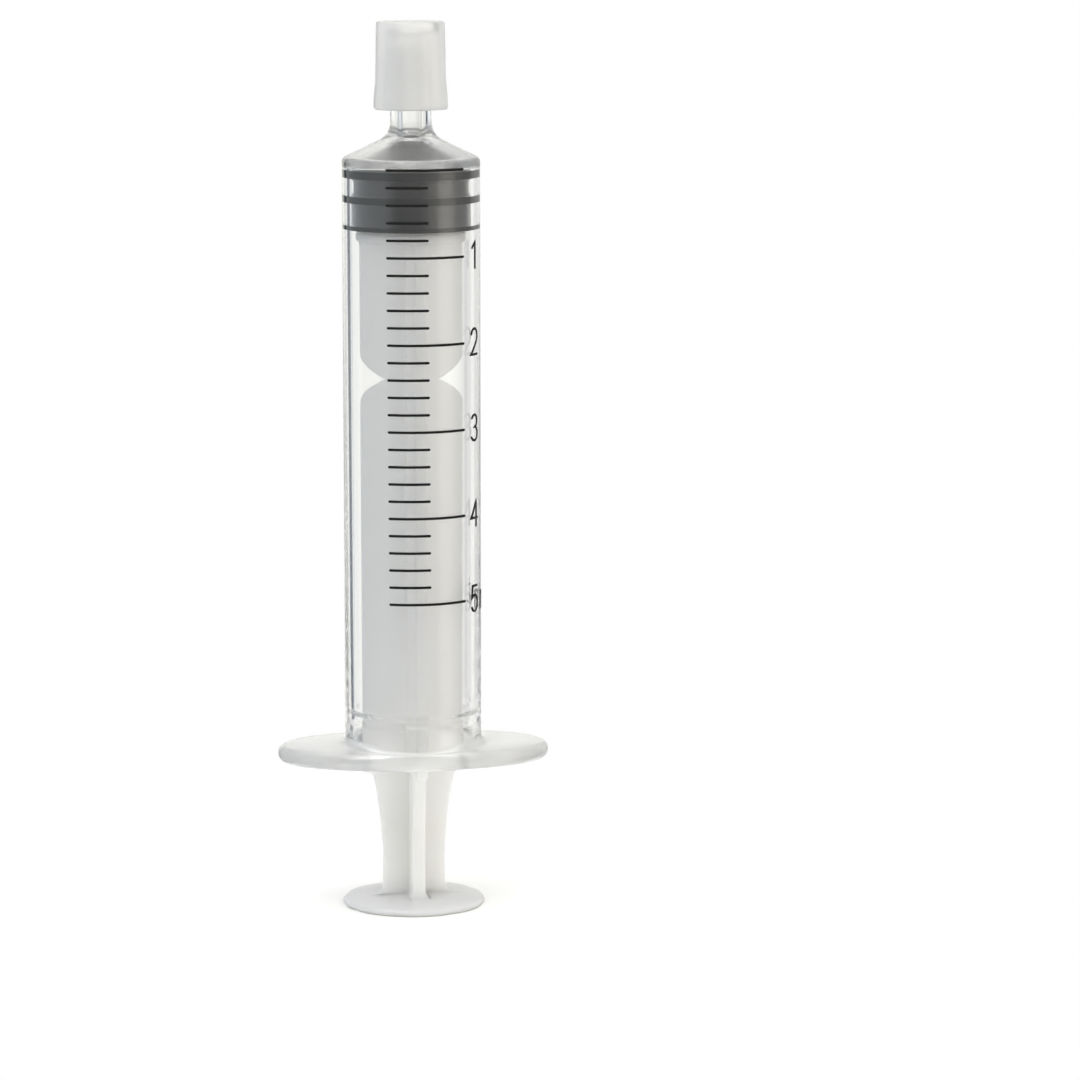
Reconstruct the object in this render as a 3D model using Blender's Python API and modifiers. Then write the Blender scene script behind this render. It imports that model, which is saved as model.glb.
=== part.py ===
"""Oral syringe, 5 mL, with a push-on tip cap: barrel, stopper, plunger rod and cap.

It stands on its thumb rest, nozzle up. +Z runs along the axis, +X along a finger wing, and the origin is the
centre of the thumb rest's underside. Lengths are in metres; MM turns millimetres into metres.
"""
import math

import bmesh
import bpy
from mathutils import Matrix

MM = 0.001

# ---- driving dimensions, millimetres ---------------------------------------------------------------------
OVERALL_HEIGHT = 90.0
FACETS = 48                 # facets round every turned piece

BORE_RADIUS = 6.05          # 8.70 mm of travel is 1 mL
BARREL_RADIUS = 6.95
ZERO_LINE_Z = 75.5          # front face of the first sealing rib with the plunger fully in
CONE_ANGLE = math.radians(25.5)     # of the shoulder, inside and out, above the horizontal
SHOULDER_THICKNESS = 1.3    # along the axis
SHOULDER_CORNER = 0.45

FLANGE_HALF_LENGTH = 13.85
FLANGE_HALF_DEPTH = 7.4
FLANGE_BOTTOM_Z = 15.0
FLANGE_THICKNESS = 1.75
FLANGE_EDGE_RADIUS = 0.7
FLANGE_FILLET = 0.45        # where the tube meets the flange, and the step down to its underside

BEAD_RADIUS = 5.85          # ring inside the mouth that keeps the stopper in
BEAD_Z = 19.7
BEAD_HALF_LENGTH = 0.25     # of its flat crest
MOUTH_RADIUS = 6.2
MOUTH_CHAMFER = 0.35

NOZZLE_BORE_RADIUS = 1.0
NOZZLE_ROOT_RADIUS = 2.12
NOZZLE_TIP_RADIUS = 1.95
NOZZLE_TIP_Z = 87.4
NOZZLE_TIP_CHAMFER = 0.2
NECK_FILLET = 2.0           # where the nozzle widens into the shoulder

STOPPER_RIB_RADIUS = 6.0
STOPPER_GROOVE_RADIUS = 5.8
STOPPER_CORNER = 0.1
FIRST_RIB_BOTTOM_Z = 74.25
SECOND_RIB_TOP_Z = 72.6
SECOND_RIB_BOTTOM_Z = 71.95
SKIRT_TOP_Z = 71.0          # below it the skirt flares out to the bore
STOPPER_BOTTOM_Z = 69.2
NOSE_TIP_RADIUS = 1.2
NOSE_GAP = 0.25             # along the axis, between the stopper's cone and the shoulder's

ROD_HEAD_RADIUS = 3.0       # the snap head inside the stopper
ROD_NECK_RADIUS = 2.0
ROD_HEAD_BOTTOM_Z = 71.1
ROD_HEAD_TOP_Z = 73.3
ROD_HEAD_CHAMFER = 0.9
SOCKET_GAP = 0.2            # round the snap head and neck
SOCKET_CHAMFER = 0.3

SUPPORT_DISC_RADIUS = 5.6   # the rod's disc under the stopper
SUPPORT_DISC_TOP_Z = 68.95
SUPPORT_DISC_THICKNESS = 0.85
SUPPORT_DISC_CORNER = 0.15

RIB_HALF_WIDTH = 5.23       # of the cross, from the axis to a rib's edge
RIB_THICKNESS = 1.3
CORE_RADIUS = 1.1
ROD_TURN = math.radians(5.0)        # of the cross from the flange's wings, at rest
NOTCH_Z = 53.95             # the round-shouldered notch in the ribs
NOTCH_HALF_WIDTH = 2.8
NOTCH_RISE = 2.35
NOTCH_DROP = 2.15
SHANK_HALF_WIDTH = 3.19     # of the narrow part between flange and thumb rest
SHANK_ROOT_Z = 2.3
FLARE_START_Z = 5.0         # where the shank starts to widen
FLARE_TOP_Z = 13.1
FLARE = 0.87
STEP_TOP_Z = 13.9           # above it the ribs have their full width

THUMB_RADIUS = 7.25
THUMB_THICKNESS = 1.15
THUMB_EDGE_RADIUS = 0.35
JOIN = 0.2                  # how far pieces of one moulding run into each other

CAP_BOTTOM_Z = 81.2
CAP_TOP_RADIUS = 3.45
CAP_WAIST_RADIUS = 3.55
CAP_FOOT_RADIUS = 3.75
CAP_WAIST_Z = 84.2          # below it the cap flares out to its foot
CAP_FOOT_Z = 82.0
CAP_CORNER = 0.45
CAP_EDGE = 0.25
CAP_DISH_DEPTH = 0.12
CAP_SOCKET_GAP = 0.06       # round the nozzle
CAP_SOCKET_TOP_Z = 87.9


def arc(centre_r, centre_z, radius, start_deg, end_deg, steps):
    """Points along a circular arc in the profile plane, ends included; 0 degrees points outwards."""
    angles = [math.radians(start_deg + (end_deg - start_deg) * i / steps) for i in range(steps + 1)]
    return [(centre_r + radius * math.cos(a), centre_z + radius * math.sin(a)) for a in angles]


def quarter_ellipse(corner_r, corner_z, width, height, steps):
    """A rib's round shoulder: from (corner_r, corner_z) it goes out by width and along by height."""
    angles = [0.5 * math.pi * i / steps for i in range(steps + 1)]
    return [(corner_r + width * math.sin(a), corner_z + height * (1.0 - math.cos(a))) for a in angles]


def bore_cone_z(r):
    """Height of the shoulder's inner cone at radius r; its foot is at the 0 mL line."""
    return ZERO_LINE_Z + (BORE_RADIUS - r) * math.tan(CONE_ANGLE)


def outer_cone_z(r):
    return bore_cone_z(r) + SHOULDER_THICKNESS


# ---- scene, collections and materials --------------------------------------------------------------------

def clear_scene():
    for obj in list(bpy.data.objects):
        bpy.data.objects.remove(obj, do_unlink=True)


def new_collection(name):
    collection = bpy.data.collections.new(name)
    bpy.context.scene.collection.children.link(collection)
    return collection


def plastic(name, colour, roughness):
    material = bpy.data.materials.new(name)
    material.use_nodes = True
    shader = material.node_tree.nodes["Principled BSDF"]
    shader.inputs["Base Color"].default_value = (*colour, 1.0)
    shader.inputs["Roughness"].default_value = roughness
    shader.inputs["Metallic"].default_value = 0.0
    return material


# ---- building blocks -------------------------------------------------------------------------------------

def new_object(name, mesh, collection):
    obj = bpy.data.objects.new(name, mesh)
    collection.objects.link(obj)
    return obj


def turned(name, profile, collection):
    """A profile of (radius, height) points, top to bottom down the outer side, turned about Z."""
    mesh = bpy.data.meshes.new(name)
    points = [(r * MM, 0.0, z * MM) for r, z in profile]
    mesh.from_pydata(points, [(i, i + 1) for i in range(len(points) - 1)], [])
    obj = new_object(name, mesh, collection)
    screw = obj.modifiers.new("Turn", "SCREW")
    screw.axis = "Z"
    screw.steps = FACETS
    screw.render_steps = FACETS
    screw.use_merge_vertices = True
    screw.merge_threshold = 0.00001
    screw.use_smooth_shade = True
    return obj


def boolean(obj, operation, other):
    cut = obj.modifiers.new(other.name, "BOOLEAN")
    cut.operation = operation
    cut.solver = "EXACT"
    cut.object = other


def as_cutter(obj):
    obj.hide_render = True
    obj.display_type = "WIRE"


def flat_blade(name, half_outline, thickness, turn, collection):
    """A flat plate in a plane through the axis, its outline mirrored about the axis, turned by an angle."""
    outline = half_outline + [(-r, z) for r, z in reversed(half_outline)]
    curve = bpy.data.curves.new(name, "CURVE")
    curve.dimensions = "2D"
    curve.fill_mode = "BOTH"
    curve.extrude = 0.5 * thickness * MM
    spline = curve.splines.new("POLY")
    spline.points.add(len(outline) - 1)
    for point, (r, z) in zip(spline.points, outline):
        point.co = (r * MM, z * MM, 0.0, 1.0)
    spline.use_cyclic_u = True
    guide = new_object(name + "_outline", curve, collection)
    guide.matrix_world = Matrix.Rotation(turn, 4, "Z") @ Matrix.Rotation(0.5 * math.pi, 4, "X")
    return curve_to_mesh(guide, name, collection)


def curve_to_mesh(guide, name, collection):
    """The curve's evaluated body as a closed mesh in the same place; the curve itself is removed."""
    bpy.context.view_layer.update()
    evaluated = guide.evaluated_get(bpy.context.evaluated_depsgraph_get())
    mesh = bpy.data.meshes.new_from_object(evaluated)
    mesh.name = name
    welded = bmesh.new()
    welded.from_mesh(mesh)
    bmesh.ops.remove_doubles(welded, verts=welded.verts, dist=0.000001)
    bmesh.ops.recalc_face_normals(welded, faces=welded.faces)
    welded.to_mesh(mesh)
    welded.free()
    obj = new_object(name, mesh, collection)
    obj.matrix_world = guide.matrix_world.copy()
    bpy.data.objects.remove(guide, do_unlink=True)
    return obj


# ---- barrel ----------------------------------------------------------------------------------------------

def flange_plate(collection):
    """The finger flange: an oval plate with rounded edges."""
    mesh = bpy.data.meshes.new("flange_plate")
    plate = bmesh.new()
    bmesh.ops.create_circle(plate, cap_ends=True, segments=FACETS, radius=1.0)
    oval = Matrix.Diagonal((FLANGE_HALF_LENGTH * MM, FLANGE_HALF_DEPTH * MM, 1.0, 1.0))
    bmesh.ops.transform(plate, matrix=oval, verts=plate.verts)
    bmesh.ops.translate(plate, vec=(0.0, 0.0, FLANGE_BOTTOM_Z * MM), verts=plate.verts)
    raised = bmesh.ops.extrude_face_region(plate, geom=list(plate.faces))
    top = [item for item in raised["geom"] if isinstance(item, bmesh.types.BMVert)]
    bmesh.ops.translate(plate, vec=(0.0, 0.0, FLANGE_THICKNESS * MM), verts=top)
    bmesh.ops.recalc_face_normals(plate, faces=plate.faces)
    plate.to_mesh(mesh)
    plate.free()
    obj = new_object("flange_plate", mesh, collection)
    rounding = obj.modifiers.new("Edge", "BEVEL")
    rounding.width = FLANGE_EDGE_RADIUS * MM
    rounding.segments = 3
    rounding.limit_method = "ANGLE"
    rounding.angle_limit = math.radians(40.0)
    as_cutter(obj)
    return obj


def barrel_outside():
    """From the nozzle's tip down the neck, shoulder and tube to the mouth."""
    slope_deg = 90.0 - math.degrees(CONE_ANGLE)
    neck_r = NOZZLE_ROOT_RADIUS + NECK_FILLET
    neck_z = outer_cone_z(neck_r) + NECK_FILLET / math.cos(CONE_ANGLE)
    corner_r = BARREL_RADIUS - SHOULDER_CORNER
    corner_z = outer_cone_z(corner_r) - SHOULDER_CORNER / math.cos(CONE_ANGLE)
    flange_top = FLANGE_BOTTOM_Z + FLANGE_THICKNESS
    fillet_r = BARREL_RADIUS + FLANGE_FILLET
    chamfer = NOZZLE_TIP_CHAMFER
    profile = [(0.0, NOZZLE_TIP_Z), (NOZZLE_TIP_RADIUS - chamfer, NOZZLE_TIP_Z)]
    profile += [(NOZZLE_TIP_RADIUS, NOZZLE_TIP_Z - chamfer)]
    profile += arc(neck_r, neck_z, NECK_FILLET, 180.0, 180.0 + slope_deg, 5)
    profile += arc(corner_r, corner_z, SHOULDER_CORNER, slope_deg, 0.0, 3)
    profile += arc(fillet_r, flange_top + FLANGE_FILLET, FLANGE_FILLET, 180.0, 265.0, 3)
    profile += [(BARREL_RADIUS, FLANGE_BOTTOM_Z + FLANGE_FILLET), (BARREL_RADIUS, FLANGE_BOTTOM_Z)]
    profile += [(0.0, FLANGE_BOTTOM_Z)]
    return profile


def barrel_bore():
    """The cutter for the bore, run from above the nozzle to below the mouth."""
    over = 1.0
    flank = MOUTH_RADIUS - BEAD_RADIUS + BEAD_HALF_LENGTH
    wide_r = MOUTH_RADIUS + MOUTH_CHAMFER
    return [
        (0.0, NOZZLE_TIP_Z + over), (NOZZLE_BORE_RADIUS, NOZZLE_TIP_Z + over),
        (NOZZLE_BORE_RADIUS, bore_cone_z(NOZZLE_BORE_RADIUS)), (BORE_RADIUS, ZERO_LINE_Z),
        (BORE_RADIUS, BEAD_Z + flank), (BEAD_RADIUS, BEAD_Z + BEAD_HALF_LENGTH),
        (BEAD_RADIUS, BEAD_Z - BEAD_HALF_LENGTH), (MOUTH_RADIUS, BEAD_Z - flank),
        (MOUTH_RADIUS, FLANGE_BOTTOM_Z + MOUTH_CHAMFER), (wide_r, FLANGE_BOTTOM_Z),
        (wide_r, FLANGE_BOTTOM_Z - over), (0.0, FLANGE_BOTTOM_Z - over),
    ]


def make_barrel(collection, cutters, material):
    barrel = turned("barrel", barrel_outside(), collection)
    plate = flange_plate(cutters)
    bore = turned("bore_cutter", barrel_bore(), cutters)
    as_cutter(bore)
    boolean(barrel, "UNION", plate)
    boolean(barrel, "DIFFERENCE", bore)
    barrel.data.materials.append(material)
    return barrel


# ---- stopper ---------------------------------------------------------------------------------------------

def stopper_profile():
    """Cone nose, two sealing ribs and skirt outside; inside, the socket for the rod's snap head."""
    groove = STOPPER_GROOVE_RADIUS
    rib = STOPPER_RIB_RADIUS
    corner = STOPPER_CORNER
    slope = rib - groove
    nose_base_r = groove - corner
    nose_tip_z = bore_cone_z(NOSE_TIP_RADIUS) - NOSE_GAP
    mouth_r = ROD_NECK_RADIUS + SOCKET_GAP
    chamber_r = ROD_HEAD_RADIUS + SOCKET_GAP
    chamber_top = ROD_HEAD_TOP_Z + SOCKET_GAP
    lip_z = ROD_HEAD_BOTTOM_Z - SOCKET_GAP
    outside = [
        (0.0, nose_tip_z + corner), (NOSE_TIP_RADIUS - 4.0 * corner, nose_tip_z + corner),
        (NOSE_TIP_RADIUS, nose_tip_z), (nose_base_r, bore_cone_z(nose_base_r) - NOSE_GAP),
        (rib - corner, ZERO_LINE_Z - NOSE_GAP), (rib, ZERO_LINE_Z - NOSE_GAP - 1.5 * corner),
        (rib, FIRST_RIB_BOTTOM_Z + slope), (groove, FIRST_RIB_BOTTOM_Z),
        (groove, SECOND_RIB_TOP_Z + slope), (rib, SECOND_RIB_TOP_Z),
        (rib, SECOND_RIB_BOTTOM_Z), (groove, SECOND_RIB_BOTTOM_Z - slope), (groove, SKIRT_TOP_Z),
        (rib, STOPPER_BOTTOM_Z + 3.0 * corner), (rib - corner, STOPPER_BOTTOM_Z),
    ]
    inside = [
        (mouth_r + SOCKET_CHAMFER, STOPPER_BOTTOM_Z), (mouth_r, STOPPER_BOTTOM_Z + SOCKET_CHAMFER),
        (mouth_r, lip_z), (chamber_r, lip_z), (chamber_r, chamber_top - ROD_HEAD_CHAMFER),
        (chamber_r - ROD_HEAD_CHAMFER, chamber_top), (0.0, chamber_top),
    ]
    return outside + inside


def make_stopper(collection, material):
    stopper = turned("stopper", stopper_profile(), collection)
    stopper.data.materials.append(material)
    return stopper


# ---- plunger rod -----------------------------------------------------------------------------------------

def shank_half_width(z):
    rise = max(0.0, z - FLARE_START_Z) / (FLARE_TOP_Z - FLARE_START_Z)
    return SHANK_HALF_WIDTH + FLARE * rise ** 2


def blade_outline():
    """Half of a rib's outline, from the thumb rest up: shank, step, full width, notch, full width."""
    top = SUPPORT_DISC_TOP_Z - SUPPORT_DISC_THICKNESS + JOIN
    flare_heights = [FLARE_START_Z + (FLARE_TOP_Z - FLARE_START_Z) * i / 5 for i in range(5)]
    step_width = RIB_HALF_WIDTH - shank_half_width(FLARE_TOP_Z)
    step = quarter_ellipse(RIB_HALF_WIDTH, STEP_TOP_Z, -step_width, FLARE_TOP_Z - STEP_TOP_Z, 4)
    notch_width = RIB_HALF_WIDTH - NOTCH_HALF_WIDTH
    below = quarter_ellipse(NOTCH_HALF_WIDTH, NOTCH_Z, notch_width, -NOTCH_DROP, 6)
    above = quarter_ellipse(NOTCH_HALF_WIDTH, NOTCH_Z, notch_width, NOTCH_RISE, 6)
    root = THUMB_THICKNESS - JOIN
    outline = arc(SHANK_HALF_WIDTH + SHANK_ROOT_Z - root, SHANK_ROOT_Z, SHANK_ROOT_Z - root, 270.0, 180.0, 4)
    outline += [(shank_half_width(z), z) for z in flare_heights]
    outline += list(reversed(step))
    outline += list(reversed(below)) + above[1:]
    outline += [(RIB_HALF_WIDTH, top)]
    return outline


def rod_top_profile():
    """Snap head, neck and support disc, with a round core that runs down between the ribs."""
    disc_top = SUPPORT_DISC_TOP_Z
    disc_bottom = disc_top - SUPPORT_DISC_THICKNESS
    disc_r = SUPPORT_DISC_RADIUS
    corner = SUPPORT_DISC_CORNER
    head_r = ROD_HEAD_RADIUS
    root = THUMB_THICKNESS - JOIN
    return [
        (0.0, ROD_HEAD_TOP_Z), (head_r - ROD_HEAD_CHAMFER, ROD_HEAD_TOP_Z),
        (head_r, ROD_HEAD_TOP_Z - ROD_HEAD_CHAMFER), (head_r, ROD_HEAD_BOTTOM_Z),
        (ROD_NECK_RADIUS, ROD_HEAD_BOTTOM_Z), (ROD_NECK_RADIUS, disc_top),
        (disc_r - corner, disc_top), (disc_r, disc_top - corner), (disc_r, disc_bottom + corner),
        (disc_r - corner, disc_bottom), (CORE_RADIUS, disc_bottom), (CORE_RADIUS, root), (0.0, root),
    ]


def thumb_profile():
    """The round thumb rest: flat underneath, slightly domed on top, with a rounded rim."""
    edge = THUMB_EDGE_RADIUS
    profile = [(0.0, THUMB_THICKNESS), (0.55 * THUMB_RADIUS, THUMB_THICKNESS)]
    profile += arc(THUMB_RADIUS - edge, edge, edge, 75.0, -90.0, 4)
    profile += [(0.0, 0.0)]
    return profile


def make_plunger_rod(collection, cutters, material):
    rod = turned("plunger_rod", thumb_profile(), collection)
    head = turned("rod_head", rod_top_profile(), cutters)
    as_cutter(head)
    boolean(rod, "UNION", head)
    for index, quarter_turn in enumerate((0.0, 0.5 * math.pi)):
        turn = ROD_TURN + quarter_turn
        blade = flat_blade(f"rod_blade_{index}", blade_outline(), RIB_THICKNESS, turn, cutters)
        as_cutter(blade)
        boolean(rod, "UNION", blade)
    rod.data.materials.append(material)
    return rod


# ---- tip cap ---------------------------------------------------------------------------------------------

def cap_profile():
    """Outside from the dished top down to the flared foot, then up the tapered socket."""
    rim_r = CAP_TOP_RADIUS - CAP_CORNER
    dish_z = OVERALL_HEIGHT - CAP_DISH_DEPTH
    foot = CAP_FOOT_RADIUS
    edge = CAP_EDGE
    neck_z = outer_cone_z(NOZZLE_ROOT_RADIUS + NECK_FILLET) + NECK_FILLET / math.cos(CONE_ANGLE)
    taper = (NOZZLE_ROOT_RADIUS - NOZZLE_TIP_RADIUS) / (NOZZLE_TIP_Z - neck_z)
    socket_foot_r = NOZZLE_ROOT_RADIUS + CAP_SOCKET_GAP - taper * (CAP_BOTTOM_Z - neck_z)
    socket_top_r = socket_foot_r - taper * (CAP_SOCKET_TOP_Z - CAP_BOTTOM_Z)
    profile = [(0.0, dish_z), (0.6 * rim_r, dish_z)]
    profile += arc(rim_r, OVERALL_HEIGHT - CAP_CORNER, CAP_CORNER, 90.0, 0.0, 3)
    profile += [(CAP_WAIST_RADIUS, CAP_WAIST_Z), (foot, CAP_FOOT_Z)]
    profile += [(foot, CAP_BOTTOM_Z + edge), (foot - edge, CAP_BOTTOM_Z)]
    socket = [(socket_foot_r + edge, CAP_BOTTOM_Z), (socket_foot_r, CAP_BOTTOM_Z + edge)]
    socket += [(socket_top_r, CAP_SOCKET_TOP_Z), (0.0, CAP_SOCKET_TOP_Z)]
    return profile + socket


def make_tip_cap(collection, material):
    cap = turned("tip_cap", cap_profile(), collection)
    cap.data.materials.append(material)
    return cap


def main():
    clear_scene()
    syringe = new_collection("oral_syringe")
    cutters = new_collection("cutters")
    make_barrel(syringe, cutters, plastic("clear_polypropylene", (0.88, 0.89, 0.87), 0.12))
    make_stopper(syringe, plastic("grey_rubber", (0.045, 0.048, 0.048), 0.45))
    make_plunger_rod(syringe, cutters, plastic("milky_polypropylene", (0.82, 0.82, 0.79), 0.35))
    make_tip_cap(syringe, plastic("frosted_polypropylene", (0.84, 0.84, 0.82), 0.45))


main()
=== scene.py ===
"""The looks of the 5 mL oral syringe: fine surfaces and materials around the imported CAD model.

Lengths are millimetres in the CAD frame: +Z up the axis, origin under the thumb rest, the printed scale on
the -Y side. Angles round the barrel are degrees from -Y, positive towards +X. Shader values are in metres.
"""
import math

import bmesh
import bpy
from mathutils import Matrix, Vector


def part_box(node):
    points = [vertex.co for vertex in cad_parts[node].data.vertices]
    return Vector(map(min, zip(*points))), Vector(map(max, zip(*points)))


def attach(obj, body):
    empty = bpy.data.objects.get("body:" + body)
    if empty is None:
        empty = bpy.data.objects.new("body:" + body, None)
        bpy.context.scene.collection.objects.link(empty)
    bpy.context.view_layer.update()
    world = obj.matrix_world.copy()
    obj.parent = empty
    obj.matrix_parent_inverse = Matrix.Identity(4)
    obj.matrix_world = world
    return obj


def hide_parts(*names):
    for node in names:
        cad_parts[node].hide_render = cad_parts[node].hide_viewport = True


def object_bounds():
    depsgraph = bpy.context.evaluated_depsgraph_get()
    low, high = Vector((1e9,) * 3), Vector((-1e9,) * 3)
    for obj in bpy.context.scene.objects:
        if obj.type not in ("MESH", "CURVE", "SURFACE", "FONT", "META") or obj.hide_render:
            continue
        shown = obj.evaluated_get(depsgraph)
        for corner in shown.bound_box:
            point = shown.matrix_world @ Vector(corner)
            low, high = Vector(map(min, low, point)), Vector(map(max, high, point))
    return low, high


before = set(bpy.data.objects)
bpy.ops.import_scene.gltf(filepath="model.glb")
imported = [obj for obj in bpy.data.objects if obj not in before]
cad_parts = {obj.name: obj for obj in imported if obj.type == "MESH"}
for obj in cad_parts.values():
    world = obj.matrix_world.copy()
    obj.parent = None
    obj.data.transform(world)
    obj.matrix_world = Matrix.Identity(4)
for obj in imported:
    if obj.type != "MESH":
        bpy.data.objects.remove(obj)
CAD_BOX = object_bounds()

MM = 0.001
TURN = 2.0 * math.pi

# ---- dimensions, as in the CAD model -------------------------------------------------------------
TOP_Z = CAD_BOX[1].z / MM
BORE_R, BARREL_R = 6.05, 6.95
ZERO_Z = 75.5
ML_LENGTH = 8.70
CONE = math.tan(math.radians(25.5))
SHOULDER_THICKNESS = 1.3

FLANGE_HALF_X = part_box("barrel")[1].x / MM
FLANGE_HALF_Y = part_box("barrel")[1].y / MM
FLANGE_LOW_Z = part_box("barrel")[0].z / MM
FLANGE_THICKNESS = 1.75
NOZZLE_TIP_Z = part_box("barrel")[1].z / MM
NOZZLE_ROOT_R, NOZZLE_TIP_R, NOZZLE_BORE_R = 2.12, 1.95, 1.0
NECK_FILLET = 2.0
BEAD_Z, BEAD_R, MOUTH_R = 19.7, 5.85, 6.2
SQUEEZE = 0.012             # how far the stopper's seals reach into the bore's wall
STOPPER_GROOVE_R = 5.78
SATIN_TOP_Z = 17.7          # the flange's fillet ends here, and its satin texture with it
SHOULDER_Z = 75.6           # the shoulder's satin texture starts here

ROD_TURN = math.radians(5.0)
RIB_HALF_WIDTH, RIB_THICKNESS = 5.23, 1.3
NOTCH_Z, NOTCH_HALF_WIDTH, NOTCH_RISE, NOTCH_DROP = 53.95, 2.7, 2.6, 2.4
CURVE_ABOVE, CURVE_BELOW = 1.75, 2.4    # powers of the notch's round shoulders
SHANK_HALF_WIDTH = 3.19
FLARE_LOW_Z, FLARE_TOP_Z, FLARE = 5.0, 13.1, 0.87
STEP_TOP_Z = 13.9
DISC_R, DISC_TOP_Z, DISC_THICKNESS = 5.6, 68.95, 0.85
THUMB_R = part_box("plunger_rod")[1].x / MM
THUMB_THICKNESS, THUMB_EDGE, THUMB_FILLET = 1.15, 0.35, 0.75

CAP_LOW_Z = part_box("tip_cap")[0].z / MM


def outer_cone_z(r):
    """Height of the shoulder's outer slope at radius r."""
    return ZERO_Z + (BORE_R - r) * CONE + SHOULDER_THICKNESS


def bore_cone_z(r):
    return ZERO_Z + (BORE_R - r) * CONE


# ---- mesh building -------------------------------------------------------------------------------

def rounded(points, steps=6):
    """A profile whose corners that give a radius, (r, z, radius), are turned into arcs."""
    result = []
    for i, point in enumerate(points):
        here = Vector(point[:2])
        if len(point) < 3:
            result.append(here)
            continue
        to_last = Vector(points[i - 1][:2]) - here
        to_next = Vector(points[(i + 1) % len(points)][:2]) - here
        half = 0.5 * to_last.angle(to_next)
        reach = min(point[2] / math.tan(half), 0.49 * to_last.length, 0.49 * to_next.length)
        radius = reach * math.tan(half)
        start = here + reach * to_last.normalized()
        end = here + reach * to_next.normalized()
        inward = (to_last.normalized() + to_next.normalized()).normalized()
        middle = here + inward * radius / math.sin(half)
        sweep = (start - middle).angle_signed(end - middle)
        for step in range(steps + 1):
            result.append(middle + Matrix.Rotation(-sweep * step / steps, 2) @ (start - middle))
    return [(p.x, p.y) for p in result]


def mesh_object(name, build):
    """A smooth mesh object whose bmesh, in millimetres, is made by build."""
    mesh = bpy.data.meshes.new(name)
    made = bmesh.new()
    build(made)
    bmesh.ops.scale(made, vec=(MM, MM, MM), verts=made.verts)
    bmesh.ops.remove_doubles(made, verts=made.verts, dist=1e-8)
    bmesh.ops.recalc_face_normals(made, faces=made.faces)
    made.to_mesh(mesh)
    made.free()
    mesh.shade_smooth()
    obj = bpy.data.objects.new(name, mesh)
    bpy.context.scene.collection.objects.link(obj)
    return obj


def add_loft(made, rings, loop=False):
    """Skins rings of points, all of one length, and closes the ends; loop joins last to first instead."""
    rows = [[made.verts.new(p) for p in ring] for ring in rings]
    pairs = list(zip(rows, rows[1:]))
    if loop:
        pairs.append((rows[-1], rows[0]))
    for upper, lower in pairs:
        count = len(upper)
        for j in range(count):
            k = (j + 1) % count
            made.faces.new((upper[j], lower[j], lower[k], upper[k]))
    if not loop:
        made.faces.new(rows[0])
        made.faces.new(list(reversed(rows[-1])))


def circle(r, z, count):
    return [(r * math.cos(TURN * j / count), r * math.sin(TURN * j / count), z) for j in range(count)]


def turned(name, profile, segments=160):
    """A closed body from a (radius, height) profile that starts and ends close to the axis."""
    rings = [circle(r, z, segments) for r, z in profile]
    return mesh_object(name, lambda made: add_loft(made, rings))


# ---- barrel --------------------------------------------------------------------------------------

def flange_reach(angle):
    """Polar radius of the oval flange."""
    x, y = math.cos(angle) / FLANGE_HALF_X, math.sin(angle) / FLANGE_HALF_Y
    return 1.0 / math.hypot(x, y)


def barrel_section(angle):
    """The barrel's cut at one angle: down the outside, round the flange, and up the bore."""
    low, high = FLANGE_LOW_Z, FLANGE_LOW_Z + FLANGE_THICKNESS
    rim = flange_reach(angle)
    room = rim - BARREL_R
    fillet = min(0.9, 0.45 * room)
    edge = min(0.82, 0.5 * room)
    outside = [(NOZZLE_BORE_R + 0.1, NOZZLE_TIP_Z), (NOZZLE_TIP_R, NOZZLE_TIP_Z, 0.2)]
    outside += [(NOZZLE_ROOT_R, outer_cone_z(NOZZLE_ROOT_R), NECK_FILLET)]
    outside += [(BARREL_R, outer_cone_z(BARREL_R), 0.6)]
    flange = [(BARREL_R, high, fillet), (rim, high, edge), (rim, low, edge)]
    mouth = [(MOUTH_R + 0.3, low, 0.25), (MOUTH_R, low + 0.4, 0.3), (MOUTH_R, BEAD_Z - 0.75, 0.2)]
    bead = [(BEAD_R, BEAD_Z - 0.2, 0.25), (BEAD_R, BEAD_Z + 0.25, 0.25)]
    bead += [(BORE_R, BEAD_Z + 0.75, 0.3)]
    bore = [(BORE_R, ZERO_Z, 0.25), (NOZZLE_BORE_R, bore_cone_z(NOZZLE_BORE_R), 0.2)]
    bore += [(NOZZLE_BORE_R, NOZZLE_TIP_Z - 0.1, 0.08)]
    return rounded(outside + flange + mouth + bead + bore)


def make_barrel():
    segments = 192
    sections = [barrel_section(TURN * j / segments) for j in range(segments)]
    rings = []
    for i in range(len(sections[0])):
        ring = []
        for j, section in enumerate(sections):
            r, z = section[i]
            ring.append((r * math.cos(TURN * j / segments), r * math.sin(TURN * j / segments), z))
        rings.append(ring)
    return mesh_object("barrel_moulding", lambda made: add_loft(made, rings, loop=True))


# ---- stopper -------------------------------------------------------------------------------------

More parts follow.
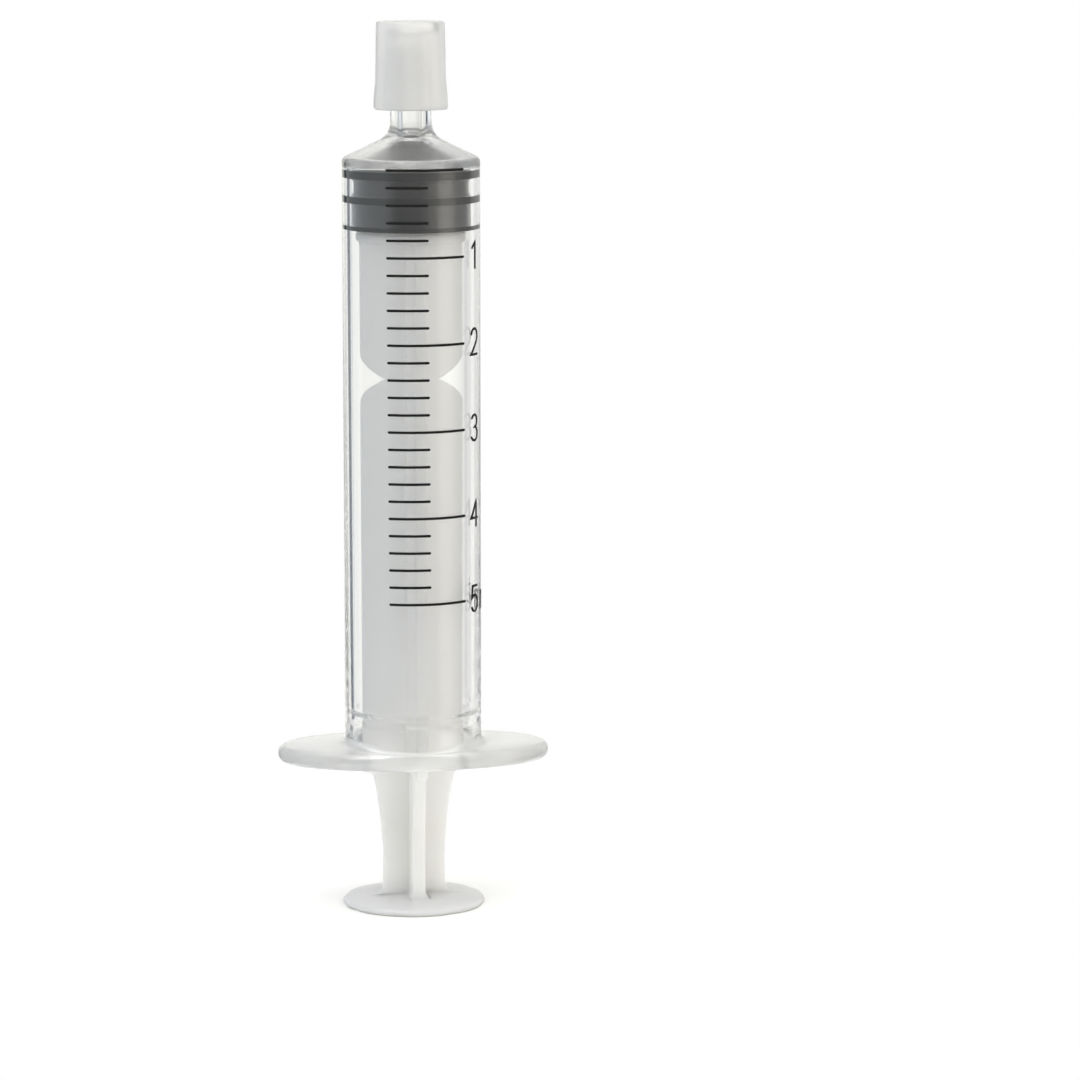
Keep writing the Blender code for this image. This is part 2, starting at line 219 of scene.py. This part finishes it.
def make_stopper():
    """The ribs and the skirt's lip reach a hair into the wall: squeezed rubber leaves no air between."""
    seal, groove = BORE_R + SQUEEZE, STOPPER_GROOVE_R
    outside = [(0.02, 77.62), (1.15, 77.58, 0.5), (5.72, 75.42, 0.25), (5.95, 75.28, 0.1)]
    outside += [(seal, 75.2, 0.04), (seal, 74.42, 0.04), (groove, 74.1, 0.3), (groove, 72.85, 0.3)]
    outside += [(seal, 72.62, 0.03), (seal, 71.98, 0.03), (6.0, 71.75, 0.1), (6.01, 70.4, 2.0)]
    outside += [(seal, 69.45, 0.05), (seal, 69.25, 0.03), (seal - 0.1, 69.2, 0.05)]
    inside = [(2.5, 69.2, 0.2), (2.2, 69.6, 0.2), (2.2, 70.9, 0.1), (3.2, 70.9, 0.1), (3.2, 72.6, 0.3)]
    inside += [(2.3, 73.5, 0.3), (0.02, 73.5)]
    return turned("stopper_rubber", rounded(outside + inside), 192)


# ---- plunger rod ---------------------------------------------------------------------------------

def cross(half_width, thickness, z, tip_radius=0.22, web_radius=0.35, steps=4):
    """One slice of the four-ribbed rod, anticlockwise, with rounded rib edges and inner corners."""
    t = 0.5 * thickness
    arm = [(half_width, -t, tip_radius), (half_width, t, tip_radius), (t, t, web_radius)]
    corners = []
    for quarter in range(4):
        spin = Matrix.Rotation(0.5 * math.pi * quarter, 2)
        for x, y, radius in arm:
            corners.append((*(spin @ Vector((x, y))), radius))
    turn = Matrix.Rotation(ROD_TURN, 2)
    return [(*(turn @ Vector(p)), z) for p in rounded(corners, steps)]


def onto_circle(ring, r, z, share=1.0):
    """The ring's points, moved towards a circle of radius r by a share of the way."""
    moved = []
    for x, y, _ in ring:
        length = math.hypot(x, y)
        reach = length + share * (r - length)
        moved.append((x * reach / length, y * reach / length, z))
    return moved


def shank_half_width(z):
    rise = max(0.0, z - FLARE_LOW_Z) / (FLARE_TOP_Z - FLARE_LOW_Z)
    return SHANK_HALF_WIDTH + FLARE * rise ** 2


def rib_widths():
    """(height, half width) up the ribs: shank, step, full width, round-shouldered notch, full width."""
    quarter = [0.5 * math.pi * i / 12 for i in range(13)]
    low = [(z, shank_half_width(z)) for z in (2.4, 3.5, 5.0, 6.6, 8.2, 9.6, 10.8, 11.8, 12.6)]
    start = shank_half_width(FLARE_TOP_Z)
    step = [(FLARE_TOP_Z + (STEP_TOP_Z - FLARE_TOP_Z) * math.sin(a),
             start + (RIB_HALF_WIDTH - start) * (1.0 - math.cos(a))) for a in quarter]
    depth = RIB_HALF_WIDTH - NOTCH_HALF_WIDTH
    rises = [1.0 - math.cos(a) for a in quarter]
    below = [(NOTCH_Z - NOTCH_DROP * rise, RIB_HALF_WIDTH - depth * (1.0 - rise) ** CURVE_BELOW)
             for rise in reversed(rises)]
    above = [(NOTCH_Z + NOTCH_RISE * rise, RIB_HALF_WIDTH - depth * (1.0 - rise) ** CURVE_ABOVE)
             for rise in rises[1:]]
    plain = [(z, RIB_HALF_WIDTH) for z in (20.0, 30.0, 40.0, 48.0)]
    upper = [(z, RIB_HALF_WIDTH) for z in (60.0, 65.0, 67.6)]
    return low + step + plain + below + above + upper


def thumb_rest_rings():
    """The underside, the rim, the domed top, then the fillet up into the ribs."""
    foot = cross(SHANK_HALF_WIDTH, RIB_THICKNESS, 0.0)
    rings = [onto_circle(foot, 0.4, 0.0), onto_circle(foot, 0.6 * THUMB_R, 0.0)]
    rim = THUMB_R - THUMB_EDGE
    for i in range(9):
        a = math.radians(-90.0 + 165.0 * i / 8)
        rings.append(onto_circle(foot, rim + THUMB_EDGE * math.cos(a), THUMB_EDGE + THUMB_EDGE * math.sin(a)))
    for share, height in ((0.75, 0.9), (0.5, 1.03), (0.25, 1.12)):
        rings.append(onto_circle(foot, THUMB_R, height, share))
    for i in range(6):
        a = 0.5 * math.pi * i / 5
        grow = THUMB_FILLET * (1.0 - math.sin(a))
        height = THUMB_THICKNESS + THUMB_FILLET * (1.0 - math.cos(a))
        rings.append(cross(SHANK_HALF_WIDTH + grow, RIB_THICKNESS + 1.2 * grow, height))
    return rings


def head_rings():
    """The support disc under the stopper, the neck and the snap head."""
    low = DISC_TOP_Z - DISC_THICKNESS
    top = cross(RIB_HALF_WIDTH, RIB_THICKNESS, low)
    rings = [cross(RIB_HALF_WIDTH + 0.05, RIB_THICKNESS + 0.25, low - 0.12)]
    rings.append(cross(RIB_HALF_WIDTH + 0.15, RIB_THICKNESS + 0.6, low))
    disc = [(DISC_R - 0.1, low + 0.02), (DISC_R, low + 0.12), (DISC_R, DISC_TOP_Z - 0.12)]
    disc += [(DISC_R - 0.12, DISC_TOP_Z)]
    neck = [(2.2, DISC_TOP_Z), (2.0, DISC_TOP_Z + 0.2), (2.0, 71.0), (2.1, 71.1)]
    head = [(2.9, 71.1), (3.0, 71.2), (3.0, 72.3), (2.8, 72.7), (2.2, 73.25), (2.0, 73.3), (0.4, 73.3)]
    return rings + [onto_circle(top, r, z) for r, z in disc + neck + head]


def make_plunger_rod():
    ribs = [cross(half_width, RIB_THICKNESS, z) for z, half_width in rib_widths()]
    rings = thumb_rest_rings() + ribs + head_rings()
    return mesh_object("rod_moulding", lambda made: add_loft(made, list(reversed(rings))))


# ---- tip cap -------------------------------------------------------------------------------------

def make_tip_cap():
    low, top = CAP_LOW_Z, TOP_Z
    outside = [(0.02, top - 0.16), (1.6, top - 0.14, 2.0), (2.95, top, 0.3), (3.45, top, 0.42)]
    outside += [(3.55, 84.2, 6.0), (3.75, 82.0, 1.2), (3.75, low, 0.3)]
    inside = [(NOZZLE_ROOT_R + 0.16, low, 0.1), (NOZZLE_ROOT_R, low + 0.3, 0.2)]
    inside += [(NOZZLE_TIP_R + 0.02, 87.9), (1.75, 89.1, 0.5), (0.02, 89.1)]
    return turned("tip_cap_moulding", rounded(outside + inside))


# ---- printed scale -------------------------------------------------------------------------------

INK_LINE = 0.26             # width of a printed line
INK_LOW, INK_HIGH = 0.004, 0.022        # the ink's underside and top, off the barrel's wall
FACING = -5.0               # the angle that faces the camera
PRINT_SKEW = 0.04           # degrees of turn per millimetre down the barrel
LINE_START = -20.4 + FACING
SHORT_END = 13.0 + FACING
LONG_END = 47.5 + FACING
NUMBER_MIDDLE = 64.5 + FACING
NUMBER_HEIGHT, NUMBER_WIDTH = 2.6, 1.7
NUMBER_DROP = 0.48          # share of a number's height that is below its line
NUMBER_SPREAD = 1.55        # the print's upright strokes are bolder than its level ones
DIVISIONS, LARGEST = 5, 5   # lines to a millilitre, and the scale's last number
UNIT_GAP, UNIT_ADVANCE = 0.9, 1.35      # from the last number to "mL", and from m to L in widths


def on_barrel(across, up, height):
    """A point on the barrel: across is the arc from the -Y line, up is along Z, height is off the wall."""
    angle = across / BARREL_R
    r = BARREL_R + height
    return (r * math.sin(angle), -r * math.cos(angle), up)


def add_stroke(made, path, width, lift=0.0, spread=1.0):
    """An ink stroke along (across, up) points, with round ends; spread widens it across only."""
    points = [Vector(p) for p in path]
    stations = []
    for i, point in enumerate(points):
        ahead = points[min(i + 1, len(points) - 1)] - point
        behind = point - points[max(i - 1, 0)]
        direction = (ahead.normalized() + behind.normalized()).normalized()
        miter = 1.0
        if 0 < i < len(points) - 1:
            miter = 1.0 / max(0.5, math.cos(0.5 * ahead.angle(behind)))
        stations.append((point, direction, 0.5 * width * miter))
    cap = [math.radians(a) for a in (22.5, 45.0, 67.5, 85.0)]
    start, heading, half = stations[0]
    opening = [(start - heading * half * math.sin(a), heading, half * math.cos(a)) for a in reversed(cap)]
    end, heading, half = stations[-1]
    closing = [(end + heading * half * math.sin(a), heading, half * math.cos(a)) for a in cap]
    rings = []
    for point, direction, half in opening + stations + closing:
        side = Vector((-direction.y * spread, direction.x)) * half
        left, right = point + side, point - side
        corners = ((left, INK_HIGH), (right, INK_HIGH), (right, INK_LOW), (left, INK_LOW))
        rings.append([on_barrel(p.x, p.y, height + lift) for p, height in corners])
    add_loft(made, rings)


def line_path(start_deg, end_deg, up):
    """Points along a level line between two angles, one every two degrees."""
    count = round((end_deg - start_deg) / 2.0)
    angles = [start_deg + (end_deg - start_deg) * i / count for i in range(count + 1)]
    return [(math.radians(a) * BARREL_R, up) for a in angles]


def arc_path(middle, radii, start_deg, end_deg):
    """An elliptical arc in glyph units."""
    angles = [math.radians(start_deg + (end_deg - start_deg) * i / 12) for i in range(13)]
    return [(middle[0] + radii[0] * math.cos(a), middle[1] + radii[1] * math.sin(a)) for a in angles]


def straight(*points):
    """A path through points with short steps, so that it bends with the barrel."""
    path = [points[0]]
    for (x0, y0), (x1, y1) in zip(points, points[1:]):
        path += [(x0 + (x1 - x0) * i / 6, y0 + (y1 - y0) * i / 6) for i in range(1, 7)]
    return path


GLYPHS = {
    "1": [straight((0.22, 0.78), (0.6, 1.0), (0.6, 0.0))],
    "2": [arc_path((0.5, 0.72), (0.4, 0.28), 165.0, -25.0)
          + straight((0.8, 0.52), (0.1, 0.0), (0.92, 0.0))],
    "3": [arc_path((0.48, 0.76), (0.36, 0.24), 150.0, -90.0)
          + arc_path((0.48, 0.27), (0.42, 0.27), 85.0, -150.0)],
    "4": [straight((0.7, 0.0), (0.7, 1.0), (0.08, 0.32), (0.95, 0.32))],
    "5": [straight((0.84, 1.0), (0.22, 1.0), (0.15, 0.52))
          + arc_path((0.47, 0.32), (0.41, 0.32), 130.0, -150.0)],
    "m": [straight((0.0, 0.0), (0.0, 0.7)),
          arc_path((0.27, 0.45), (0.27, 0.22), 180.0, 0.0) + [(0.54, 0.0)],
          arc_path((0.81, 0.45), (0.27, 0.22), 180.0, 0.0) + [(1.08, 0.0)]],
    "L": [straight((0.1, 1.0), (0.1, 0.0), (0.8, 0.0))],
}


def add_glyph(made, glyph, left, number):
    """A glyph beside the line of a number; strokes that cross lie a hair above each other."""
    low = ZERO_Z - ML_LENGTH * number - NUMBER_DROP * NUMBER_HEIGHT
    for index, path in enumerate(GLYPHS[glyph]):
        placed = [(left + x * NUMBER_WIDTH, low + y * NUMBER_HEIGHT) for x, y in path]
        add_stroke(made, placed, INK_LINE, lift=0.001 * index, spread=NUMBER_SPREAD)


def make_scale_lines():
    def build(made):
        for step in range(DIVISIONS * LARGEST + 1):
            end = SHORT_END if step % DIVISIONS else LONG_END
            down = ML_LENGTH * step / DIVISIONS
            turn = PRINT_SKEW * down
            add_stroke(made, line_path(LINE_START + turn, end + turn, ZERO_Z - down), INK_LINE)
    return mesh_object("scale_lines", build)


def make_scale_numbers():
    def build(made):
        left = math.radians(NUMBER_MIDDLE) * BARREL_R - 0.5 * NUMBER_WIDTH
        for number in range(1, LARGEST + 1):
            add_glyph(made, str(number), left, number)
    return mesh_object("scale_numbers", build)


def make_scale_unit():
    def build(made):
        left = math.radians(NUMBER_MIDDLE) * BARREL_R + 0.5 * NUMBER_WIDTH + UNIT_GAP
        add_glyph(made, "m", left, LARGEST)
        add_glyph(made, "L", left + UNIT_ADVANCE * NUMBER_WIDTH, LARGEST)
    return mesh_object("scale_unit", build)


# ---- materials -----------------------------------------------------------------------------------

class Finish:
    """A Principled material and short ways to drive it with procedural textures."""

    def __init__(self, name, **values):
        self.material = bpy.data.materials.new(name)
        self.material.use_nodes = True
        self.tree = self.material.node_tree
        self.shader = self.tree.nodes["Principled BSDF"]
        for key, value in values.items():
            self.shader.inputs[key.replace("_", " ")].default_value = value
        self.place = self.tree.nodes.new("ShaderNodeTexCoord").outputs["Object"]

    def noise(self, scale, stretch=(1.0, 1.0, 1.0)):
        mapping = self.tree.nodes.new("ShaderNodeMapping")
        mapping.inputs["Scale"].default_value = stretch
        self.tree.links.new(self.place, mapping.inputs["Vector"])
        texture = self.tree.nodes.new("ShaderNodeTexNoise")
        texture.inputs["Scale"].default_value = scale
        texture.inputs["Detail"].default_value = 3.0
        self.tree.links.new(mapping.outputs["Vector"], texture.inputs["Vector"])
        return texture.outputs["Fac"]

    def colour(self, fac, dark, light):
        ramp = self.tree.nodes.new("ShaderNodeValToRGB")
        ramp.color_ramp.elements[0].position, ramp.color_ramp.elements[1].position = 0.3, 0.7
        ramp.color_ramp.elements[0].color = (*dark, 1.0)
        ramp.color_ramp.elements[1].color = (*light, 1.0)
        self.tree.links.new(fac, ramp.inputs["Fac"])
        self.tree.links.new(ramp.outputs["Color"], self.shader.inputs["Base Color"])

    def darker_low_down(self, share, low_z, high_z):
        """Painted shade: scales the colour by share at low_z and below, and by 1 at high_z and above."""
        height = self.tree.nodes.new("ShaderNodeSeparateXYZ")
        self.tree.links.new(self.place, height.inputs["Vector"])
        span = self.tree.nodes.new("ShaderNodeMapRange")
        span.inputs["From Min"].default_value, span.inputs["From Max"].default_value = low_z, high_z
        span.inputs["To Min"].default_value = share
        self.tree.links.new(height.outputs["Z"], span.inputs["Value"])
        scaled = self.tree.nodes.new("ShaderNodeVectorMath")
        scaled.operation = "SCALE"
        self.tree.links.new(self.shader.inputs["Base Color"].links[0].from_socket, scaled.inputs[0])
        self.tree.links.new(span.outputs["Result"], scaled.inputs["Scale"])
        self.tree.links.new(scaled.outputs["Vector"], self.shader.inputs["Base Color"])

    def roughness(self, fac, low, high):
        span = self.tree.nodes.new("ShaderNodeMapRange")
        span.inputs["From Min"].default_value, span.inputs["From Max"].default_value = 0.3, 0.7
        span.inputs["To Min"].default_value, span.inputs["To Max"].default_value = low, high
        self.tree.links.new(fac, span.inputs["Value"])
        self.tree.links.new(span.outputs["Result"], self.shader.inputs["Roughness"])

    def bump(self, fac, distance):
        node = self.tree.nodes.new("ShaderNodeBump")
        node.inputs["Distance"].default_value = distance
        node.inputs["Strength"].default_value = 1.0
        self.tree.links.new(fac, node.inputs["Height"])
        self.tree.links.new(node.outputs["Normal"], self.shader.inputs["Normal"])


def clear_plastic():
    finish = Finish("clear_polypropylene", IOR=1.49, Transmission_Weight=0.985)
    flow = finish.noise(220.0, stretch=(1.0, 1.0, 0.12))
    finish.colour(flow, (0.975, 0.98, 0.975), (0.995, 0.995, 0.995))
    finish.roughness(flow, 0.01, 0.03)
    return finish.material


def satin_plastic(name, clarity, shade, low, high, gloss):
    """The same clear plastic with the mould's satin texture, of roughness low to high, under a gloss."""
    finish = Finish(name, IOR=1.49, Transmission_Weight=clarity, Coat_Weight=gloss, Coat_Roughness=0.05)
    cloud = finish.noise(300.0)
    finish.colour(cloud, (shade, shade + 0.005, shade), (shade + 0.03, shade + 0.035, shade + 0.03))
    finish.roughness(cloud, low, high)
    return finish.material


def milky_plastic():
    """Light goes deep into it. Its colour is darkened low down as painted shade, because the light there is
    stronger than in the barrel.
    """
    finish = Finish("milky_polypropylene", IOR=1.49, Subsurface_Weight=1.0, Subsurface_Scale=0.005)
    finish.shader.inputs["Subsurface Radius"].default_value = (1.0, 0.98, 0.9)
    cloud = finish.noise(160.0, stretch=(1.0, 1.0, 0.3))
    finish.colour(cloud, (0.955, 0.95, 0.925), (0.985, 0.98, 0.955))
    # painted shade: the base colour darkens towards the rod's lower end, from 24 mm down to 8 mm
    finish.darker_low_down(0.74, 0.008, 0.024)
    finish.roughness(cloud, 0.28, 0.4)
    finish.bump(finish.noise(900.0), 0.00002)
    return finish.material


def frosted_plastic():
    finish = Finish("frosted_polypropylene", IOR=1.49, Transmission_Weight=0.72)
    cloud = finish.noise(260.0)
    finish.colour(cloud, (0.93, 0.93, 0.92), (0.96, 0.96, 0.95))
    finish.roughness(cloud, 0.29, 0.34)
    return finish.material


def grey_rubber():
    finish = Finish("grey_rubber", IOR=1.5)
    cloud = finish.noise(300.0)
    finish.colour(cloud, (0.012, 0.014, 0.014), (0.022, 0.024, 0.023))
    finish.roughness(cloud, 0.34, 0.46)
    finish.bump(finish.noise(1600.0), 0.00003)
    return finish.material


def black_ink():
    finish = Finish("black_ink", IOR=1.45, Specular_IOR_Level=0.2)
    blot = finish.noise(900.0)
    finish.colour(blot, (0.002, 0.002, 0.002), (0.008, 0.008, 0.007))
    finish.roughness(blot, 0.45, 0.7)
    return finish.material


def pale_floor():
    finish = Finish("pale_floor")
    haze = finish.noise(1.5)
    finish.colour(haze, (0.87, 0.87, 0.86), (0.89, 0.89, 0.88))
    finish.roughness(haze, 0.8, 0.9)
    return finish.material


# ---- putting the object together -----------------------------------------------------------------

def place(piece, body, material, replaced=()):
    piece.data.materials.append(material)
    for node in replaced:
        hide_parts(node)
    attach(piece, body)


def add_satin_zones(barrel):
    """The flange, and the outside of the shoulder and neck, are satin; the rest of the barrel is clear."""
    flange = satin_plastic("satin_flange", clarity=0.72, shade=0.84, low=0.29, high=0.36, gloss=0.8)
    shoulder = satin_plastic("satin_shoulder", clarity=0.94, shade=0.94, low=0.19, high=0.24, gloss=0.0)
    barrel.data.materials.append(flange)
    barrel.data.materials.append(shoulder)
    flange_index, shoulder_index = 1, 2
    for face in barrel.data.polygons:
        middle = face.center
        if middle.z < SATIN_TOP_Z * MM and math.hypot(middle.x, middle.y) > BARREL_R * MM:
            face.material_index = flange_index
        elif SHOULDER_Z * MM < middle.z < CAP_LOW_Z * MM and face.normal.xy.dot(middle.xy) > 0.0:
            face.material_index = shoulder_index


def make_object():
    barrel = make_barrel()
    place(barrel, "barrel", clear_plastic(), ["barrel"])
    add_satin_zones(barrel)
    place(make_stopper(), "stopper", grey_rubber(), ["stopper"])
    place(make_plunger_rod(), "plunger_rod", milky_plastic(), ["plunger_rod"])
    place(make_tip_cap(), "tip_cap", frosted_plastic(), ["tip_cap"])
    ink = black_ink()
    for printed in (make_scale_lines(), make_scale_numbers(), make_scale_unit()):
        place(printed, "barrel", ink)


# ---- stage, light and camera ---------------------------------------------------------------------

# azimuth from the camera's side, half width, elevation, half height, soft edge (degrees), radiance;
# where two rows overlap, the later one counts
STUDIO = [
    (0.0, 180.0, 0.0, 90.0, 0.0, (0.19, 0.195, 0.20)),          # dim room, wherever no other row is
    (180.0, 72.0, 0.0, 90.0, 10.0, (0.99, 0.99, 0.955)),        # backdrop
    (0.0, 108.0, 38.0, 34.0, 5.0, (0.60, 0.60, 0.60)),          # high front fill
    (0.0, 108.0, -52.0, 38.0, 4.0, (1.9, 1.88, 1.82)),          # table in front
    (-84.0, 47.0, 0.0, 60.0, 16.0, (0.76, 0.80, 0.84)),         # fill, left
    (68.0, 34.0, 0.0, 60.0, 22.0, (0.80, 0.78, 0.74)),          # fill, right
    (63.0, 9.0, 0.0, 60.0, 12.0, (1.85, 1.78, 1.66)),           # softbox, right
    (155.0, 9.0, 0.0, 90.0, 8.0, (0.72, 0.72, 0.72)),           # backdrop's fold, behind right
    (107.0, 8.0, 0.0, 60.0, 8.0, (0.5, 0.5, 0.5)),              # grey card, right
    (-143.0, 5.0, 0.0, 90.0, 4.0, (0.04, 0.06, 0.10)),          # blue-black flag, behind left
    (0.0, 180.0, 90.0, 32.0, 12.0, (2.5, 2.5, 2.45)),           # overhead
    (-24.0, 7.0, 62.0, 20.0, 3.0, (9.0, 9.0, 9.0)),             # strip lamp for the glints
]
FLOOR_R = 30.0
BOUNCES = 24                # light crosses many walls in the clear barrel
BOUNCE_LIMITS = ("max_bounces", "glossy_bounces", "transmission_bounces")


def make_floor():
    """A small round pale floor, so that what the barrel's walls reflect is the studio and not the floor."""
    def build(made):
        bmesh.ops.create_circle(made, cap_ends=True, segments=96, radius=FLOOR_R)
    floor = mesh_object("floor", build)
    floor.data.materials.append(pale_floor())


def make_world():
    """The studio by direction, as light and reflections meet it; behind the object the picture is white."""
    world = bpy.data.worlds.new("studio")
    bpy.context.scene.world = world
    world.use_nodes = True
    tree = world.node_tree
    tree.nodes.clear()

    def node(kind, **inputs):
        made = tree.nodes.new(kind)
        for key, value in inputs.items():
            socket = made.inputs[int(key[1:])] if key[0] == "_" and key[1:].isdigit() else made.inputs[key]
            if hasattr(value, "links"):
                tree.links.new(value, socket)
            else:
                socket.default_value = value
        return made

    def math_node(operation, *values):
        made = node("ShaderNodeMath", **{"_%d" % i: value for i, value in enumerate(values)})
        made.operation = operation
        return made.outputs[0]

    def smooth(value, low, high):
        made = node("ShaderNodeMapRange", Value=value)
        made.interpolation_type = "SMOOTHSTEP"
        made.inputs["From Min"].default_value, made.inputs["From Max"].default_value = low, high
        return made.outputs["Result"]

    direction = node("ShaderNodeTexCoord").outputs["Generated"]
    axes = node("ShaderNodeSeparateXYZ", Vector=direction)
    x, y, z = axes.outputs
    level = math_node("SQRT", math_node("ADD", math_node("MULTIPLY", x, x), math_node("MULTIPLY", y, y)))
    level = math_node("MAXIMUM", level, 0.001)
    height = math_node("ARCSINE", z)

    colour = None
    for azimuth, half_width, elevation, half_height, soft, rgb in STUDIO:
        if colour is None:
            colour = rgb + (1.0,)
            continue
        mask = 1.0
        if half_width < 180.0:
            a = math.radians(azimuth + FACING)
            share_of_x = math_node("MULTIPLY", x, math.sin(a))
            share_of_y = math_node("MULTIPLY", y, -math.cos(a))
            along = math_node("ADD", share_of_x, share_of_y)
            turn = math_node("DIVIDE", along, level)
            wide, narrow = half_width + soft, max(0.0, half_width - soft)
            mask = smooth(turn, math.cos(math.radians(wide)), math.cos(math.radians(narrow)))
        away = math_node("ABSOLUTE", math_node("SUBTRACT", height, math.radians(elevation)))
        rows = smooth(away, math.radians(half_height + soft), math.radians(half_height - soft))
        mask = math_node("MULTIPLY", mask, rows)
        mix = tree.nodes.new("ShaderNodeMix")
        mix.data_type = "RGBA"
        tree.links.new(mask, mix.inputs[0])
        if isinstance(colour, tuple):
            mix.inputs[6].default_value = colour
        else:
            tree.links.new(colour, mix.inputs[6])
        mix.inputs[7].default_value = rgb + (1.0,)
        colour = mix.outputs[2]

    surround = node("ShaderNodeBackground", Color=colour)
    seen = node("ShaderNodeBackground", Color=(1.0, 1.0, 1.0, 1.0))
    mix = tree.nodes.new("ShaderNodeMixShader")
    tree.links.new(tree.nodes.new("ShaderNodeLightPath").outputs["Is Camera Ray"], mix.inputs["Fac"])
    tree.links.new(surround.outputs["Background"], mix.inputs[1])
    tree.links.new(seen.outputs["Background"], mix.inputs[2])
    output = tree.nodes.new("ShaderNodeOutputWorld")
    tree.links.new(mix.outputs["Shader"], output.inputs["Surface"])


def make_camera():
    """Slightly above the cap, looking down at the syringe, which stands left of the picture's middle."""
    distance, height = 0.450, 0.10345
    pitch, yaw = math.radians(8.33), math.radians(1.65)
    around = math.radians(FACING)
    camera = bpy.data.objects.new("camera", bpy.data.cameras.new("camera"))
    bpy.context.scene.collection.objects.link(camera)
    camera.location = (distance * math.sin(around), -distance * math.cos(around), height)
    camera.rotation_euler = (0.5 * math.pi - pitch, 0.0, around - yaw)
    camera.data.sensor_width = 36.0
    camera.data.lens = 149.1
    camera.data.clip_start, camera.data.clip_end = 0.01, 100.0
    bpy.context.scene.camera = camera


make_object()
make_floor()
make_world()
make_camera()
bpy.context.scene.view_settings.view_transform = "Standard"
for limit in BOUNCE_LIMITS:
    setattr(bpy.context.scene.cycles, limit, BOUNCES)
